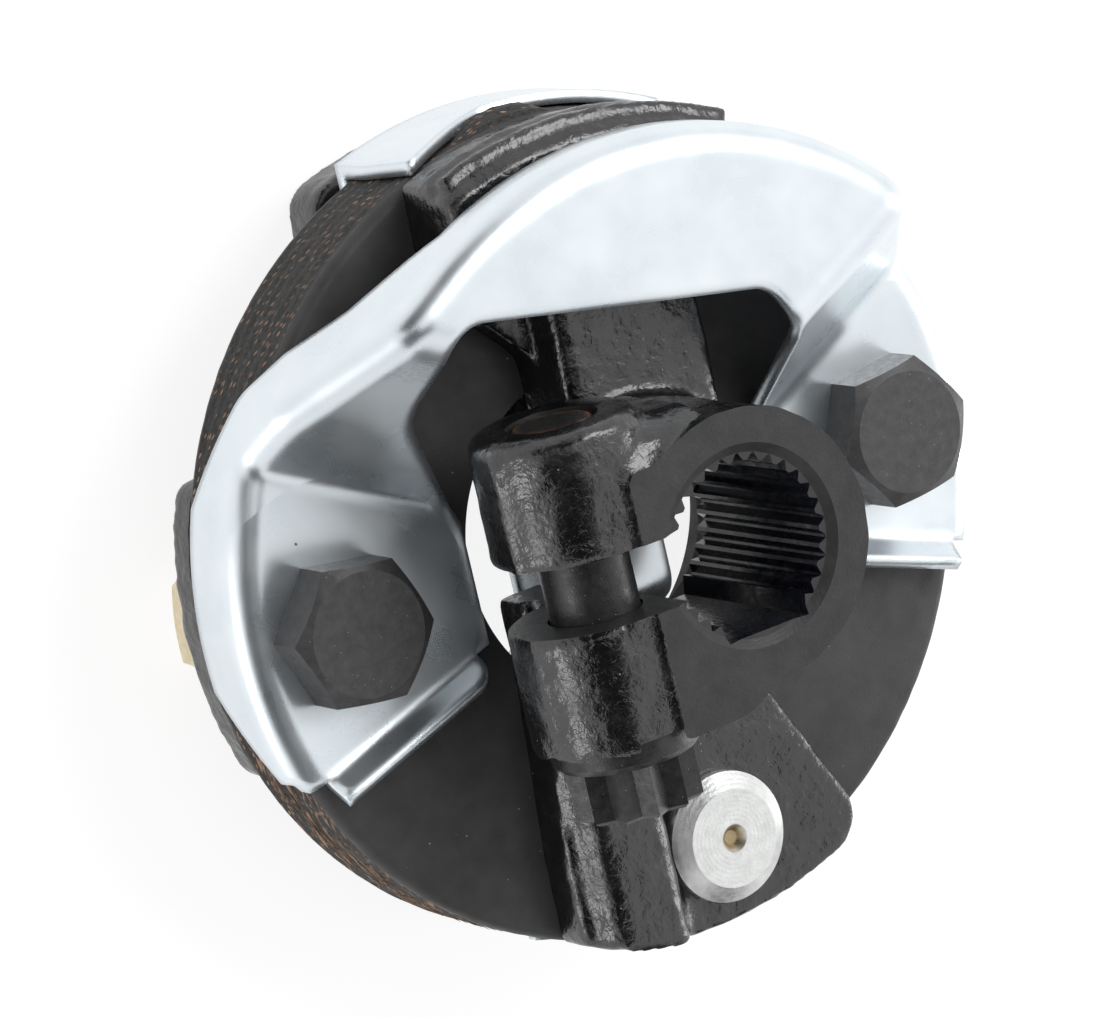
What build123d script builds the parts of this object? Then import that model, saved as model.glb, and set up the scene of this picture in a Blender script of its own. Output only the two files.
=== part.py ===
"""Steering disc coupling: a splined clamp flange riveted to a rubber and fabric disc.

Millimetres. +Z is the spline axis, towards the nose of the hub, and the origin is on that
axis at the inner end of the splined bore. +X runs to the right-hand through bolt.
"""
from build123d import *
from math import asin, atan2, cos, degrees, pi, radians, sin, tan
import os

# ---------------------------------------------------------------- driving dimensions

# splined clamp hub
spline_teeth = 30
spline_major_r = 9.55
spline_minor_r = 8.75
spline_tip_share = 0.24           # part of each pitch that is the flat tip of a tooth
spline_root_share = 0.14          # part of each pitch that is the flat root of a groove
spline_flat_y = 9.0               # the locating flat, measured from the axis
spline_flat_half_width = 5.2
hub_length = 23.7
hub_r = 14.35
hub_mouth_r = 10.35
hub_mouth_depth = 0.7
hub_relief_r = 10.8
slit_width = 7.2
slit_shift = 0.4

# clamp ears and the bolt that draws them together
pinch_x = -14.4
pinch_drop = 9.2                  # from the nose face down to the bolt's axis
ear_low_r = 9.45                  # the ears' boss tapers from its lower end to its upper one
ear_high_r = 9.05
ear_top_y = 17.5
ear_bottom_y = -15.5
ear_edge = 1.2
shoulder_y = 15.7
shoulder_r = 5.2
shoulder_right_x = -1.5
web_right_x = -5.2
pinch_bolt_r = 4.76
pinch_hole_gap = 0.25
pinch_thread_gap = 0.05
pinch_end_recess = 0.4
pinch_flange_r = 7.9
pinch_flange_height = 3.0
pinch_head_height = 5.7
pinch_head_r = 6.9
pinch_head_edge = 0.4
pinch_flange_edge = 0.7

# rubber and fabric disc
hub_standoff = 3.0                # from the disc's face up to the end of the spline
disc_r = 44.2
disc_thickness = 12.7
disc_hole_r = 18.0
disc_edge = 1.3
bolt_rim_margin = 9.55            # from the disc's rim in to the bolts' axes
upper_rivet_rim_margin = 10.9
lower_rivet_rim_margin = 9.3
rivet_lean = 3.0                  # degrees that the rivet line leans from square to the bolts

# arms of the casting
arm_overhang = 0.1                # the arms' ends pass the disc's rim by this
neck_foot_left = -7.0
neck_left = -5.4
neck_right = 12.4
neck_foot_right = 13.6
neck_height = 7.2
neck_edge = 1.6
neck_lap = 3.5                    # how far the neck runs into the top block
flare_height = 3.2
top_block_height = 9.0
top_block_left = -15.5
top_block_right = 21.5
top_block_depth = 17.8            # from the arm's end in towards the hub
top_block_step = 1.1              # the outer wall steps in by this above its parting line
top_block_step_z = 5.4
top_block_edge = 0.9
foot_height = 4.8
foot_left = -17.2
foot_left_y = -32.0
foot_waist_x = -15.4
foot_waist_y = -10.0
foot_inner_x = 7.0
foot_inner_y = -11.5
foot_outer_x = 19.5
foot_outer_y = -38.0
foot_corner = 4.0
rib_foot_left = -18.4
rib_left = -14.6
rib_right = -6.6
rib_foot_right = -3.2
rib_height = 8.1
rib_edge = 2.4

# rivets
rivet_r = 4.3
rivet_hole_gap = 0.1
rivet_head_r = 7.05
rivet_seat_r = 7.3
upper_rivet_seat = 6.4            # above the disc's face
rivet_head_edge = 1.1
rivet_head_height = 2.4
rivet_face_r = 5.3                # the flat of the head, inside its sloping rim
rivet_dimple_r = 1.5
rivet_dimple_depth = 0.8
rivet_tail_r = 6.4
rivet_tail_height = 2.2
rivet_tail_edge = 0.8

# through bolts, nuts and the sleeves that keep the disc from being crushed
bolt_r = 4.76
bolt_hole_gap = 0.3
bolt_point = 0.8
hex_flats = 14.29
hex_chamfer_share = 0.92          # the chamfer's circle against the width across flats
hex_chamfer_angle = 30.0
bolt_head_height = 5.4
bolt_left_turn = -8.0             # degrees
bolt_right_turn = 7.0
nut_turn = 24.0
nut_height = 5.8
nut_thread_gap = 0.05
bolt_end_past_nut = 1.7
sleeve_wall = 1.6
sleeve_gap = 0.2
sleeve_seat_gap = 0.05

# pressed sheet of the stop bridge
sheet = 1.4
bridge_clear = 0.6                # between the disc's edge and the bridge's lip
bridge_top = 18.0                 # front of the raised arch above the disc's face
bridge_arch_r = 42.6
bridge_left_flank = 145.6         # degrees round from the right-hand bolt
bridge_arch_left = 124.0
bridge_arch_right = 36.0
bridge_arch_right_r = 44.5
bridge_right_flank = 29.0
bridge_fold_angle = 28.0
left_fold_x = -27.9
left_fold_y = 12.45
left_ramp_run = 15.2
right_fold_x = 31.6
right_fold_y = 12.0
right_ramp_run = 11.9
inner_bend_r = 2.5
outer_bend_r = 5.5
pad_lip_depth = 7.9               # below the disc's face
arch_lip_depth = 5.8              # below the front of the arch
lip_knee_share = 0.8              # where the lip's free edge turns up, along the ramp
lip_knee_height = 0.6
lip_crest_share = 1.15
lip_crest_height = 6.4
lip_end_share = 1.75
lip_edge_r = 3.2                  # outer radius of the bend from the sheet into its lip
lip_start = -5.0                  # how far outside the ramp's foot the free edge starts to rise
flank_corner_r = 5.0
pad_inner_x = 18.4
pad_fold_inner_y = -6.9
pad_fold_slope = 19.2             # degrees
pad_flange_rise = 50.0            # degrees
pad_flange_length = 3.1
pad_flange_bend_r = 1.2
pad_flange_inner_x = 20.2
pad_flange_outer_x = 40.4
pad_flange_corner_r = 2.4
pad_plan_angle = 32.0             # degrees below the bolt line, well past the pads' folds
notch_centre_x = 44.2             # relief between the end of the lip and the bent flange
notch_r = 1.9
lip_taper_y = -4.0
lip_taper_end_y = -17.5
window_left_x = -26.3
window_left_y = 20.5
window_top_left_x = -22.9
window_top_left_y = 29.8
window_top_right_x = 14.4
window_top_right_y = 22.8
window_side_x = 18.3
window_side_y = 16.3
window_low_y = 6.5
window_left_r = 5.0
window_top_left_r = 4.0
window_top_right_r = 4.5
window_side_r = 3.0

# back plate
plate_clear = 0.2                 # between the disc's edge and the plate's lip
strap_half_width = 9.3
strap_hole_r = 5.5
strap_rise = 6.7                  # how far the middle is pressed forward into the disc's hole
strap_crest_y = 10.3
strap_foot_y = 14.6
strap_bend_r = 2.0
strap_end_left = -14.8
strap_end_right = 21.0
strap_low_half_width = 13.5
strap_shoulder_y = 25.0
strap_flare = 8.0
tab_tip_x = -12.9
tab_tip_depth = 0.7               # below the disc's face
tab_end_depth = 8.5
tab_low_x = -1.0
tab_low_depth = 6.4

# black flange behind the disc
rear_pad_thickness = 3.8
rear_pad_rim_step = 0.4           # from the disc's rim in to the pads' ends
rear_pad_half_width = 16.3
rear_pad_corner_r = 2.5
rear_pad_inner_x = 21.5
rear_ring_inner_r = 27.0
rear_ring_outer_r = 37.0
rear_lobe_half_width = 16.5
rear_lobe_rim_step = 1.0
rear_lobe_corner_r = 3.5
rear_lobe_thickness = 6.0
rear_lobe_gap = 3.9               # from the back plate to the lobes that pass behind it
rear_ramp_inner_x = 15.5
rear_ramp_outer_x = 23.0
rear_ramp_shift_pad = 1.5
rear_ramp_shift_lobe = 2.5

# how far cutting tools reach past what they cut
past = 1.0
far = 70.0

# ---------------------------------------------------------------- levels and places

nose_z = hub_length
disc_front = -hub_standoff
disc_back = disc_front - disc_thickness
pinch_z = nose_z - pinch_drop
arm_r = disc_r + arm_overhang
top_block_inner_y = arm_r - top_block_depth
neck_outer_y = top_block_inner_y + neck_lap
bolt_circle_r = disc_r - bolt_rim_margin
upper_rivet_circle_r = disc_r - upper_rivet_rim_margin
lower_rivet_circle_r = disc_r - lower_rivet_rim_margin
rear_pad_r = disc_r - rear_pad_rim_step
rear_lobe_r = disc_r - rear_lobe_rim_step
bridge_r = disc_r + bridge_clear + sheet
plate_inner_r = disc_r + plate_clear
plate_r = plate_inner_r + sheet
plate_back = disc_back - sheet
rear_pad_back = disc_back - rear_pad_thickness
rear_lobe_front = plate_back - rear_lobe_gap
rear_lobe_back = rear_lobe_front - rear_lobe_thickness
bolt_end = rear_pad_back - nut_height - bolt_end_past_nut
bolt_places = [(-bolt_circle_r, 0.0), (bolt_circle_r, 0.0)]
upper_rivet_place = (
    -upper_rivet_circle_r * sin(radians(rivet_lean)),
    upper_rivet_circle_r * cos(radians(rivet_lean)),
)
lower_rivet_place = (
    lower_rivet_circle_r * sin(radians(rivet_lean)),
    -lower_rivet_circle_r * cos(radians(rivet_lean)),
)


def rod(radius, low, high, place=(0.0, 0.0)):
    """A round bar along Z between two levels."""
    return Pos(place[0], place[1], low) * Cylinder(
        radius, high - low, align=(Align.CENTER, Align.CENTER, Align.MIN)
    )


def slab(x_low, x_high, y_low, y_high, z_low, z_high):
    """A block between six faces."""
    return Pos(x_low, y_low, z_low) * Box(
        x_high - x_low, y_high - y_low, z_high - z_low, align=(Align.MIN, Align.MIN, Align.MIN)
    )


def prism(outline, low, high):
    """A flat outline raised from one level to another."""
    return Pos(0, 0, low) * extrude(outline, high - low)


def on_circle(radius, angle):
    return (radius * cos(radians(angle)), radius * sin(radians(angle)))


# ---------------------------------------------------------------- clamp flange


def tooth_groove(angle):
    """Plan of one V groove, from inside the tips out to its narrow flat root."""
    pitch = 360 / spline_teeth
    mouth = pitch * (1 - spline_tip_share) / 2
    root = pitch * spline_root_share / 2
    inner = spline_minor_r - past / 2
    return make_face(Polyline(
        on_circle(inner, angle - mouth),
        on_circle(spline_minor_r, angle - mouth),
        on_circle(spline_major_r, angle - root),
        on_circle(spline_major_r, angle + root),
        on_circle(spline_minor_r, angle + mouth),
        on_circle(inner, angle + mouth),
        on_circle(inner, angle - mouth),
    ))


def spline_cutter():
    """The toothed hole: V grooves between narrow teeth, with one flat for location."""
    outline = Circle(spline_minor_r)
    flat_reach = degrees(asin(spline_flat_half_width / spline_major_r))
    for tooth in range(spline_teeth):
        angle = tooth * 360 / spline_teeth
        from_flat = abs((angle + 90 + 180) % 360 - 180)
        if from_flat > flat_reach:
            outline += tooth_groove(angle)
    outline += Pos(0, -spline_flat_y / 2) * Rectangle(2 * spline_flat_half_width, spline_flat_y)
    return prism(outline, disc_front - past, nose_z + past)


def ear_boss():
    """The round boss that both ears are sawn from, lying along the pinch bolt."""
    length = ear_top_y - ear_bottom_y
    boss = Cone(ear_high_r, ear_low_r, length)
    upper_rim = boss.edges().filter_by(GeomType.CIRCLE).sort_by(Axis.Z)[:1]
    boss = chamfer(upper_rim, ear_edge)
    middle = (ear_top_y + ear_bottom_y) / 2
    return Pos(pinch_x, middle, pinch_z) * Rot(90, 0, 0) * boss


def ear_webs():
    """What joins the boss to the ring: square below the slit, round-shouldered above it."""
    low = pinch_z - ear_low_r * cos(radians(45))
    lower = prism(make_face(Polyline(
        (pinch_x, 0), (pinch_x, ear_bottom_y), (web_right_x, ear_bottom_y), (0, -hub_r), (0, 0),
        (pinch_x, 0),
    )), low, nose_z)
    upper = slab(pinch_x, shoulder_right_x, 0, shoulder_y, low, nose_z)
    crest = upper.edges().filter_by(Axis.X).sort_by(lambda e: e.center().Y + e.center().Z)[-1:]
    return lower + fillet(crest, shoulder_r)


def top_block():
    """Thick curved block at the disc's edge, with a parting step round its outer wall."""
    front = disc_front
    sector = slab(top_block_left, top_block_right, top_block_inner_y, arm_r, front,
                  front + top_block_height)
    wall = rod(arm_r, front, front + top_block_step_z)
    wall += rod(arm_r - top_block_step, front, front + top_block_height)
    block = sector & wall
    return chamfer(block.edges().group_by(Axis.Z)[-1], top_block_edge)


def neck():
    """The low arm from the hub to the top block, flaring out at its foot."""
    section = make_face(Polyline(
        (neck_foot_left, disc_front), (neck_left, disc_front + neck_height),
        (neck_right, disc_front + neck_height), (neck_foot_right, disc_front),
        (neck_foot_left, disc_front),
    ))
    arm = Pos(0, neck_outer_y, 0) * extrude(Plane.XZ * section, neck_outer_y)
    arm = fillet(arm.edges().filter_by(Axis.Y).group_by(Axis.Z)[-1], neck_edge)
    flare = make_face(Polyline(
        (0, hub_r / 2), (neck_left, hub_r), (neck_foot_left, shoulder_y + shoulder_r),
        (top_block_left, neck_outer_y), (0, neck_outer_y), (0, hub_r / 2),
    ))
    return arm + prism(flare, disc_front, disc_front + flare_height)


def foot_plan():
    """Plan of the lower arm: a waist under the hub, spreading out to the disc's edge."""
    slope = (foot_outer_x - foot_inner_x) / (foot_inner_y - foot_outer_y)
    low_x = foot_inner_x + slope * (foot_inner_y + far)
    outline = make_face(Polyline(
        (foot_waist_x, 0), (0, 0), (foot_inner_x, foot_inner_y), (low_x, -far),
        (foot_left, -far), (foot_left, foot_left_y), (foot_waist_x, foot_waist_y),
        (foot_waist_x, 0),
    ))
    outline &= Circle(arm_r)
    return fillet(outline.vertices().sort_by(Axis.X)[-1:], foot_corner)


def foot():
    """The flat plate that the lower rivet goes through."""
    return prism(foot_plan(), disc_front, disc_front + foot_height)


def rib():
    """The leg that carries the lower ear down to the disc's edge."""
    section = make_face(Polyline(
        (rib_foot_left, disc_front), (rib_left, disc_front + rib_height),
        (rib_right, disc_front + rib_height), (rib_foot_right, disc_front + foot_height / 2),
        (rib_foot_right, disc_front), (rib_foot_left, disc_front),
    ))
    leg = Pos(0, -hub_r / 2, 0) * extrude(Plane.XZ * section, far)
    leg = fillet(leg.edges().filter_by(Axis.Y).group_by(Axis.Z)[-1], rib_edge)
    end = rod(arm_r, disc_front, disc_front + rib_height)
    end = fillet(end.edges().filter_by(GeomType.CIRCLE).sort_by(Axis.Z)[-1:], rib_edge)
    return leg & end & prism(foot_plan(), disc_front, disc_front + rib_height)


def clamp_flange():
    """The casting: hub, ears, neck and two arms in one piece, then machined."""
    part = rod(hub_r, 0, nose_z) + ear_boss() + ear_webs()
    part += neck() + top_block() + foot() + rib()
    part &= rod(far, disc_front, nose_z)
    part -= rod(hub_relief_r, disc_front - past, 0)
    part -= spline_cutter()
    mouth = Cone(spline_major_r, hub_mouth_r, hub_mouth_depth,
                 align=(Align.CENTER, Align.CENTER, Align.MIN))
    part -= Pos(0, 0, nose_z - hub_mouth_depth) * mouth
    slit_low = slit_shift - slit_width / 2
    part -= slab(-far, 0, slit_low, slit_low + slit_width, disc_front - past, nose_z + past)
    for radius, low, high in (
        (pinch_bolt_r + pinch_hole_gap, ear_bottom_y - past, slit_shift),
        (pinch_bolt_r + pinch_thread_gap, slit_shift, ear_top_y + past),
    ):
        bore = Cylinder(radius, high - low)
        part -= Pos(pinch_x, (low + high) / 2, pinch_z) * Rot(90, 0, 0) * bore
    for place, seat in (
        (upper_rivet_place, disc_front + upper_rivet_seat),
        (lower_rivet_place, disc_front + foot_height),
    ):
        part -= rod(rivet_r + rivet_hole_gap, disc_front - past, seat, place)
        part -= rod(rivet_seat_r, seat, seat + upper_rivet_seat, place)
    return part


# ---------------------------------------------------------------- fasteners


def hex_blank(height):
    """A hexagon whose front corners are turned off to a circle, standing on Z = 0."""
    corner_r = hex_flats / 2 / cos(pi / 6)
    flat_r = hex_flats / 2 * hex_chamfer_share
    drop = (corner_r - flat_r) * tan(radians(hex_chamfer_angle))
    turned = Pos(0, 0, height - drop) * Cone(
        corner_r, flat_r, drop, align=(Align.CENTER, Align.CENTER, Align.MIN))
    turned += rod(corner_r, 0, height - drop)
    return extrude(RegularPolygon(corner_r, 6), height) & turned


def through_bolt(place, turn):
    seat = disc_front + sheet
    shank = rod(bolt_r, bolt_end, seat)
    shank = chamfer(shank.edges().filter_by(GeomType.CIRCLE).sort_by(Axis.Z)[:1], bolt_point)
    head = Pos(0, 0, seat) * Rot(0, 0, turn) * hex_blank(bolt_head_height)
    return Pos(place[0], place[1], 0) * (head + shank)


def thin_nut(place):
    blank = hex_blank(nut_height) - rod(bolt_r + nut_thread_gap, -past, nut_height + past)
    return Pos(place[0], place[1], rear_pad_back) * Rot(0, 0, nut_turn) * Rot(180, 0, 0) * blank


def sleeve(inner_r, place):
    """A steel tube set in the disc, a hair shorter than the disc is thick."""
    low = disc_back + sleeve_seat_gap
    high = disc_front - sleeve_seat_gap
    outer = rod(inner_r + sleeve_wall, low, high, place)
    return outer - rod(inner_r, low - past, high + past, place)


def rivet(place, seat):
    """A low head with a sloping rim and a centre dimple, a plain shank and a flat tail."""
    top = seat + rivet_head_height
    head = rod(rivet_head_r, seat, seat + rivet_head_edge)
    head += Pos(0, 0, seat + rivet_head_edge) * Cone(
        rivet_head_r, rivet_face_r, rivet_head_height - rivet_head_edge,
        align=(Align.CENTER, Align.CENTER, Align.MIN))
    head -= Pos(0, 0, top) * Cone(
        rivet_dimple_r / 2, rivet_dimple_r, rivet_dimple_depth,
        align=(Align.CENTER, Align.CENTER, Align.MAX))
    tail = rod(rivet_tail_r, plate_back - rivet_tail_height, plate_back)
    tail = chamfer(tail.edges().group_by(Axis.Z)[0], rivet_tail_edge)
    return Pos(place[0], place[1], 0) * (head + rod(rivet_r, plate_back, seat) + tail)


def pinch_bolt():
    """Twelve-point flange bolt: head below the lower ear, end just inside the upper one."""
    square = Rectangle(pinch_head_r * 2 ** 0.5, pinch_head_r * 2 ** 0.5)
    star = square + Rot(0, 0, 30) * square + Rot(0, 0, 60) * square
    head = extrude(star, pinch_flange_height + pinch_head_height)
    head = chamfer(head.faces().sort_by(Axis.Z)[-1].edges(), pinch_head_edge)
    flange = rod(pinch_flange_r, 0, pinch_flange_height)
    flange = chamfer(flange.edges().group_by(Axis.Z)[-1], pinch_flange_edge)
    shank = rod(pinch_bolt_r, -(ear_top_y - pinch_end_recess - ear_bottom_y), 0)
    shank = chamfer(shank.edges().group_by(Axis.Z)[0], bolt_point)
    return Pos(pinch_x, ear_bottom_y, pinch_z) * Rot(90, 0, 0) * (head + flange + shank)


# ---------------------------------------------------------------- rubber and fabric disc


def flexible_disc():
    part = rod(disc_r, disc_back, disc_front)
    part = chamfer(part.edges().filter_by(GeomType.CIRCLE), disc_edge)
    part -= rod(disc_hole_r, disc_back - 1, disc_front + 1)
    for place, inner in disc_sleeves():
        part -= rod(inner + sleeve_wall + sleeve_gap, disc_back - 1, disc_front + 1, place)
    return part


def disc_sleeves():
    bolts = [(place, bolt_r + bolt_hole_gap) for place in bolt_places]
    rivets = [(place, rivet_r + rivet_hole_gap) for place in (upper_rivet_place, lower_rivet_place)]
    return bolts + rivets


# ---------------------------------------------------------------- pressed stop bridge

pad_top = disc_front + sheet
arch_top = disc_front + bridge_top
lip_low = disc_front - pad_lip_depth


def under_sheet(run, drop):
    """Section across the folds of all that lies under the pad, ramp and arch, less a drop."""
    lean = drop * tan(atan2(arch_top - pad_top, run) / 2)
    front = FilletPolyline(
        (-far, pad_top - drop), (lean, pad_top - drop), (run + lean, arch_top - drop),
        (far, arch_top - drop), radius=[inner_bend_r + drop, outer_bend_r - drop])
    back = Polyline((far, arch_top - drop), (far, -far), (-far, -far), (-far, pad_top - drop))
    return make_face([front, back])


def under_lip(run, _):
    """Section across the folds of all that lies past the lip's free edge."""
    crest = arch_top - arch_lip_depth
    return make_face(Polyline(
        (-far, lip_low), (lip_start, lip_low),
        (run * lip_knee_share, disc_front + lip_knee_height),
        (run * lip_crest_share, disc_front + lip_crest_height),
        (run * lip_end_share, crest), (far, crest), (far, -far), (-far, -far), (-far, lip_low),
    ))


def folded(section_of, drop=0.0):
    """Both halves, each section swept along its own fold and cut off at the middle."""
    halves = []
    for side, x, y, run in (
        (-1, left_fold_x, left_fold_y, left_ramp_run),
        (1, right_fold_x, right_fold_y, right_ramp_run),
    ):
        turn = radians(side * bridge_fold_angle)
        across = Vector(-sin(turn), cos(turn), 0)
        plane = Plane(origin=(x, y, 0), x_dir=across, z_dir=across.cross(Vector(0, 0, 1)))
        body = extrude(plane * section_of(run, drop), far, both=True)
        halves.append(body & slab(min(0, side * far), max(0, side * far), -far, far, -far, far))
    return halves[0] + halves[1]


def bridge_plan(inset):
    """Plan of the bridge's outer edge: pad arcs, straight flanks and the arch's arc."""
    pad_r = bridge_r - inset
    arch = bridge_arch_r - inset
    pad_left = on_circle(pad_r, bridge_left_flank)
    pad_right = on_circle(pad_r, bridge_right_flank)
    arch_left = on_circle(arch, bridge_arch_left)
    arch_right = on_circle(bridge_arch_right_r - inset, bridge_arch_right)
    low_left = on_circle(pad_r, 180 + pad_plan_angle)
    low_right = on_circle(pad_r, -pad_plan_angle)
    plan = make_face([
        ThreePointArc(low_left, (-pad_r, 0), pad_left),
        Line(pad_left, arch_left),
        ThreePointArc(arch_left, (0, arch), arch_right),
        Line(arch_right, pad_right),
        ThreePointArc(pad_right, (pad_r, 0), low_right),
        Line(low_right, low_left),
    ])
    return fillet([v for v in plan.vertices() if v.Y > 0], flank_corner_r)


def softened_body(inset, soften, size):
    """Solid under the sheet's front (or, inset, its back), its outer edge rounded or bevelled."""
    plan = bridge_plan(inset)
    solid = folded(under_sheet, inset) & prism(plan, lip_low - past - inset, arch_top)
    rim = []
    for edge in solid.edges():
        middle = edge.position_at(0.5)
        on_plan = plan.face().outer_wire().distance_to(Vertex(middle.X, middle.Y, 0)) < 0.02
        upright = abs(edge.tangent_at(0.5).Z) > 0.99
        if on_plan and not upright and middle.Z > lip_low and middle.Y > pad_fold_inner_y * 2:
            rim.append(edge)
    return soften(rim, size)


def bridge_opening():
    """Plan of what the bridge leaves open: the window and the gap between the pads."""
    window = make_face([
        FilletPolyline(
            (-pad_inner_x, window_low_y - past),
            (-pad_inner_x, window_low_y),
            (window_left_x, window_left_y),
            (window_top_left_x, window_top_left_y),
            (window_top_right_x, window_top_right_y),
            (window_side_x, window_side_y),
            (window_side_x, window_low_y - past),
            radius=[past / 2, window_left_r, window_top_left_r, window_top_right_r, window_side_r]),
        Line((window_side_x, window_low_y - past), (-pad_inner_x, window_low_y - past)),
    ])
    gap = Pos(0, window_low_y - far / 2) * Rectangle(2 * pad_inner_x, far)
    return window + gap


def below_pads():
    """Plan of what lies past the pads' lower folds, where the flat sheet stops."""
    low = pad_fold_inner_y - (far - pad_inner_x) * tan(radians(pad_fold_slope))
    return make_face(Polyline(
        (-far, low), (-pad_inner_x, pad_fold_inner_y), (pad_inner_x, pad_fold_inner_y),
        (far, low), (far, -far), (-far, -far), (-far, low),
    ))


def pad_flange():
    """The right-hand pad's edge bent forward, away from the disc, along its lower fold."""
    rise = radians(pad_flange_rise)
    lean = sheet * tan(rise / 2)
    tip_x = pad_flange_length * cos(rise)
    tip_z = pad_top + pad_flange_length * sin(rise)
    under_x = tip_x + sheet * sin(rise)
    under_z = tip_z - sheet * cos(rise)
    section = make_face([
        FilletPolyline((-sheet, pad_top), (0, pad_top), (tip_x, tip_z), radius=pad_flange_bend_r),
        FilletPolyline((-sheet, disc_front), (lean, disc_front), (under_x, under_z),
                       radius=pad_flange_bend_r + sheet),
        Line((-sheet, pad_top), (-sheet, disc_front)),
        Line((tip_x, tip_z), (under_x, under_z)),
    ])
    slope = radians(pad_fold_slope)
    outward = Vector(-sin(slope), -cos(slope), 0)
    ends = []
    for x in (pad_flange_inner_x, pad_flange_outer_x):
        ends.append(Vector(x, pad_fold_inner_y - (x - pad_inner_x) * tan(slope), 0))
    normal = outward.cross(Vector(0, 0, 1))
    start, stop = ends if normal.dot(ends[1] - ends[0]) > 0 else ends[::-1]
    plane = Plane(origin=start, x_dir=outward, z_dir=normal)
    flange = extrude(plane * section, (stop - start).length)
    along = (ends[1] - ends[0]).normalized()
    corners = flange.edges().filter_by(lambda e: abs(e.length - sheet) < 0.01
                                       and e.center().Z > pad_top)
    inner = corners.sort_by(lambda e: e.center().dot(along))[:1]
    return fillet(inner, pad_flange_corner_r)


def stop_bridge():
    """One pressing: two flat pads, two ramps, the arch with its window, and the outer lip."""
    low = lip_low - 2 * past
    high = arch_top + past
    bevel = (lip_edge_r - sheet) * (2 - 2 ** 0.5)
    part = softened_body(0, fillet, lip_edge_r) - softened_body(sheet, chamfer, bevel)
    part -= folded(under_lip)
    part -= prism(bridge_opening() + below_pads(), low, high)
    taper = make_face(Polyline(
        (lip_taper_y, lip_low), (lip_taper_end_y, disc_front), (lip_taper_end_y, low),
        (lip_taper_y, low), (lip_taper_y, lip_low),
    ))
    part -= extrude(Plane.YZ * taper, far, both=True)
    flange = pad_flange()
    part += flange + mirror(flange, about=Plane.YZ)
    for side in (-1, 1):
        notch_x = side * notch_centre_x
        notch_y = pad_fold_inner_y - (notch_centre_x - pad_inner_x) * tan(radians(pad_fold_slope))
        part -= rod(notch_r, low, high, (notch_x, notch_y))
    for place in bolt_places:
        part -= rod(bolt_r + bolt_hole_gap, low, high, place)
    return part


# ---------------------------------------------------------------- back plate


def strap_end(left, right):
    """Plan of half the plate: from the narrow middle out to one wide end."""
    half = strap_half_width
    wide_y = strap_shoulder_y + strap_flare
    return make_face(Polyline(
        (-half, 0), (-half, strap_shoulder_y), (left, wide_y), (left, far), (right, far),
        (right, wide_y), (half, strap_shoulder_y), (half, 0), (-half, 0),
    ))


def strap_plan():
    """Plan of the whole plate: a wide end under the top block, a narrower one under the foot."""
    lower = strap_end(-strap_low_half_width, strap_low_half_width)
    return strap_end(strap_end_left, strap_end_right) + Rot(0, 0, 180) * lower


def strap_section():
    """Section along the plate: flat ends, and a middle pressed forward into the disc's hole."""
    crest = disc_back + strap_rise
    lean = sheet * tan(atan2(strap_rise, strap_foot_y - strap_crest_y) / 2)
    front = FilletPolyline(
        (-far, disc_back), (-strap_foot_y, disc_back), (-strap_crest_y, crest),
        (strap_crest_y, crest), (strap_foot_y, disc_back), (far, disc_back),
        radius=[strap_bend_r, strap_bend_r + sheet, strap_bend_r + sheet, strap_bend_r])
    foot_y = strap_foot_y - lean
    crest_y = strap_crest_y - lean
    back = FilletPolyline(
        (-far, plate_back), (-foot_y, plate_back), (-crest_y, crest - sheet),
        (crest_y, crest - sheet), (foot_y, plate_back), (far, plate_back),
        radius=[strap_bend_r + sheet, strap_bend_r, strap_bend_r, strap_bend_r + sheet])
    return make_face([front, back, Line((-far, disc_back), (-far, plate_back)),
                      Line((far, disc_back), (far, plate_back))])


def lip_front():
    """What is missing in front of the upper lip, so that only a slanting tab is left."""
    outline = make_face(Polyline(
        (-far, plate_back), (strap_end_left, disc_front - tab_end_depth),
        (tab_tip_x - sheet / 2, disc_front - tab_tip_depth), (tab_tip_x, disc_front - tab_tip_depth),
        (tab_low_x, disc_front - tab_low_depth), (far, disc_front - tab_low_depth),
        (far, far), (-far, far), (-far, plate_back),
    ))
    return Pos(0, far, 0) * extrude(Plane.XZ * outline, far)


def back_plate():
    """Zinc-plated strap across the back, riveted at both ends, with a lip at the upper one."""
    plate = prism(strap_plan() & Circle(plate_r), plate_back, disc_front)
    plate &= extrude(Plane.YZ * strap_section(), far, both=True)
    upper = strap_plan() & (Pos(0, far / 2) * Rectangle(2 * far, far))
    lip = prism(upper & (Circle(plate_r) - Circle(plate_inner_r)), plate_back, disc_front)
    part = plate + (lip - lip_front())
    part -= rod(strap_hole_r, plate_back - past, disc_front)
    for place in (upper_rivet_place, lower_rivet_place):
        part -= rod(rivet_r + rivet_hole_gap, plate_back - past, disc_back + past, place)
    return part


# ---------------------------------------------------------------- black flange behind the disc


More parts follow.
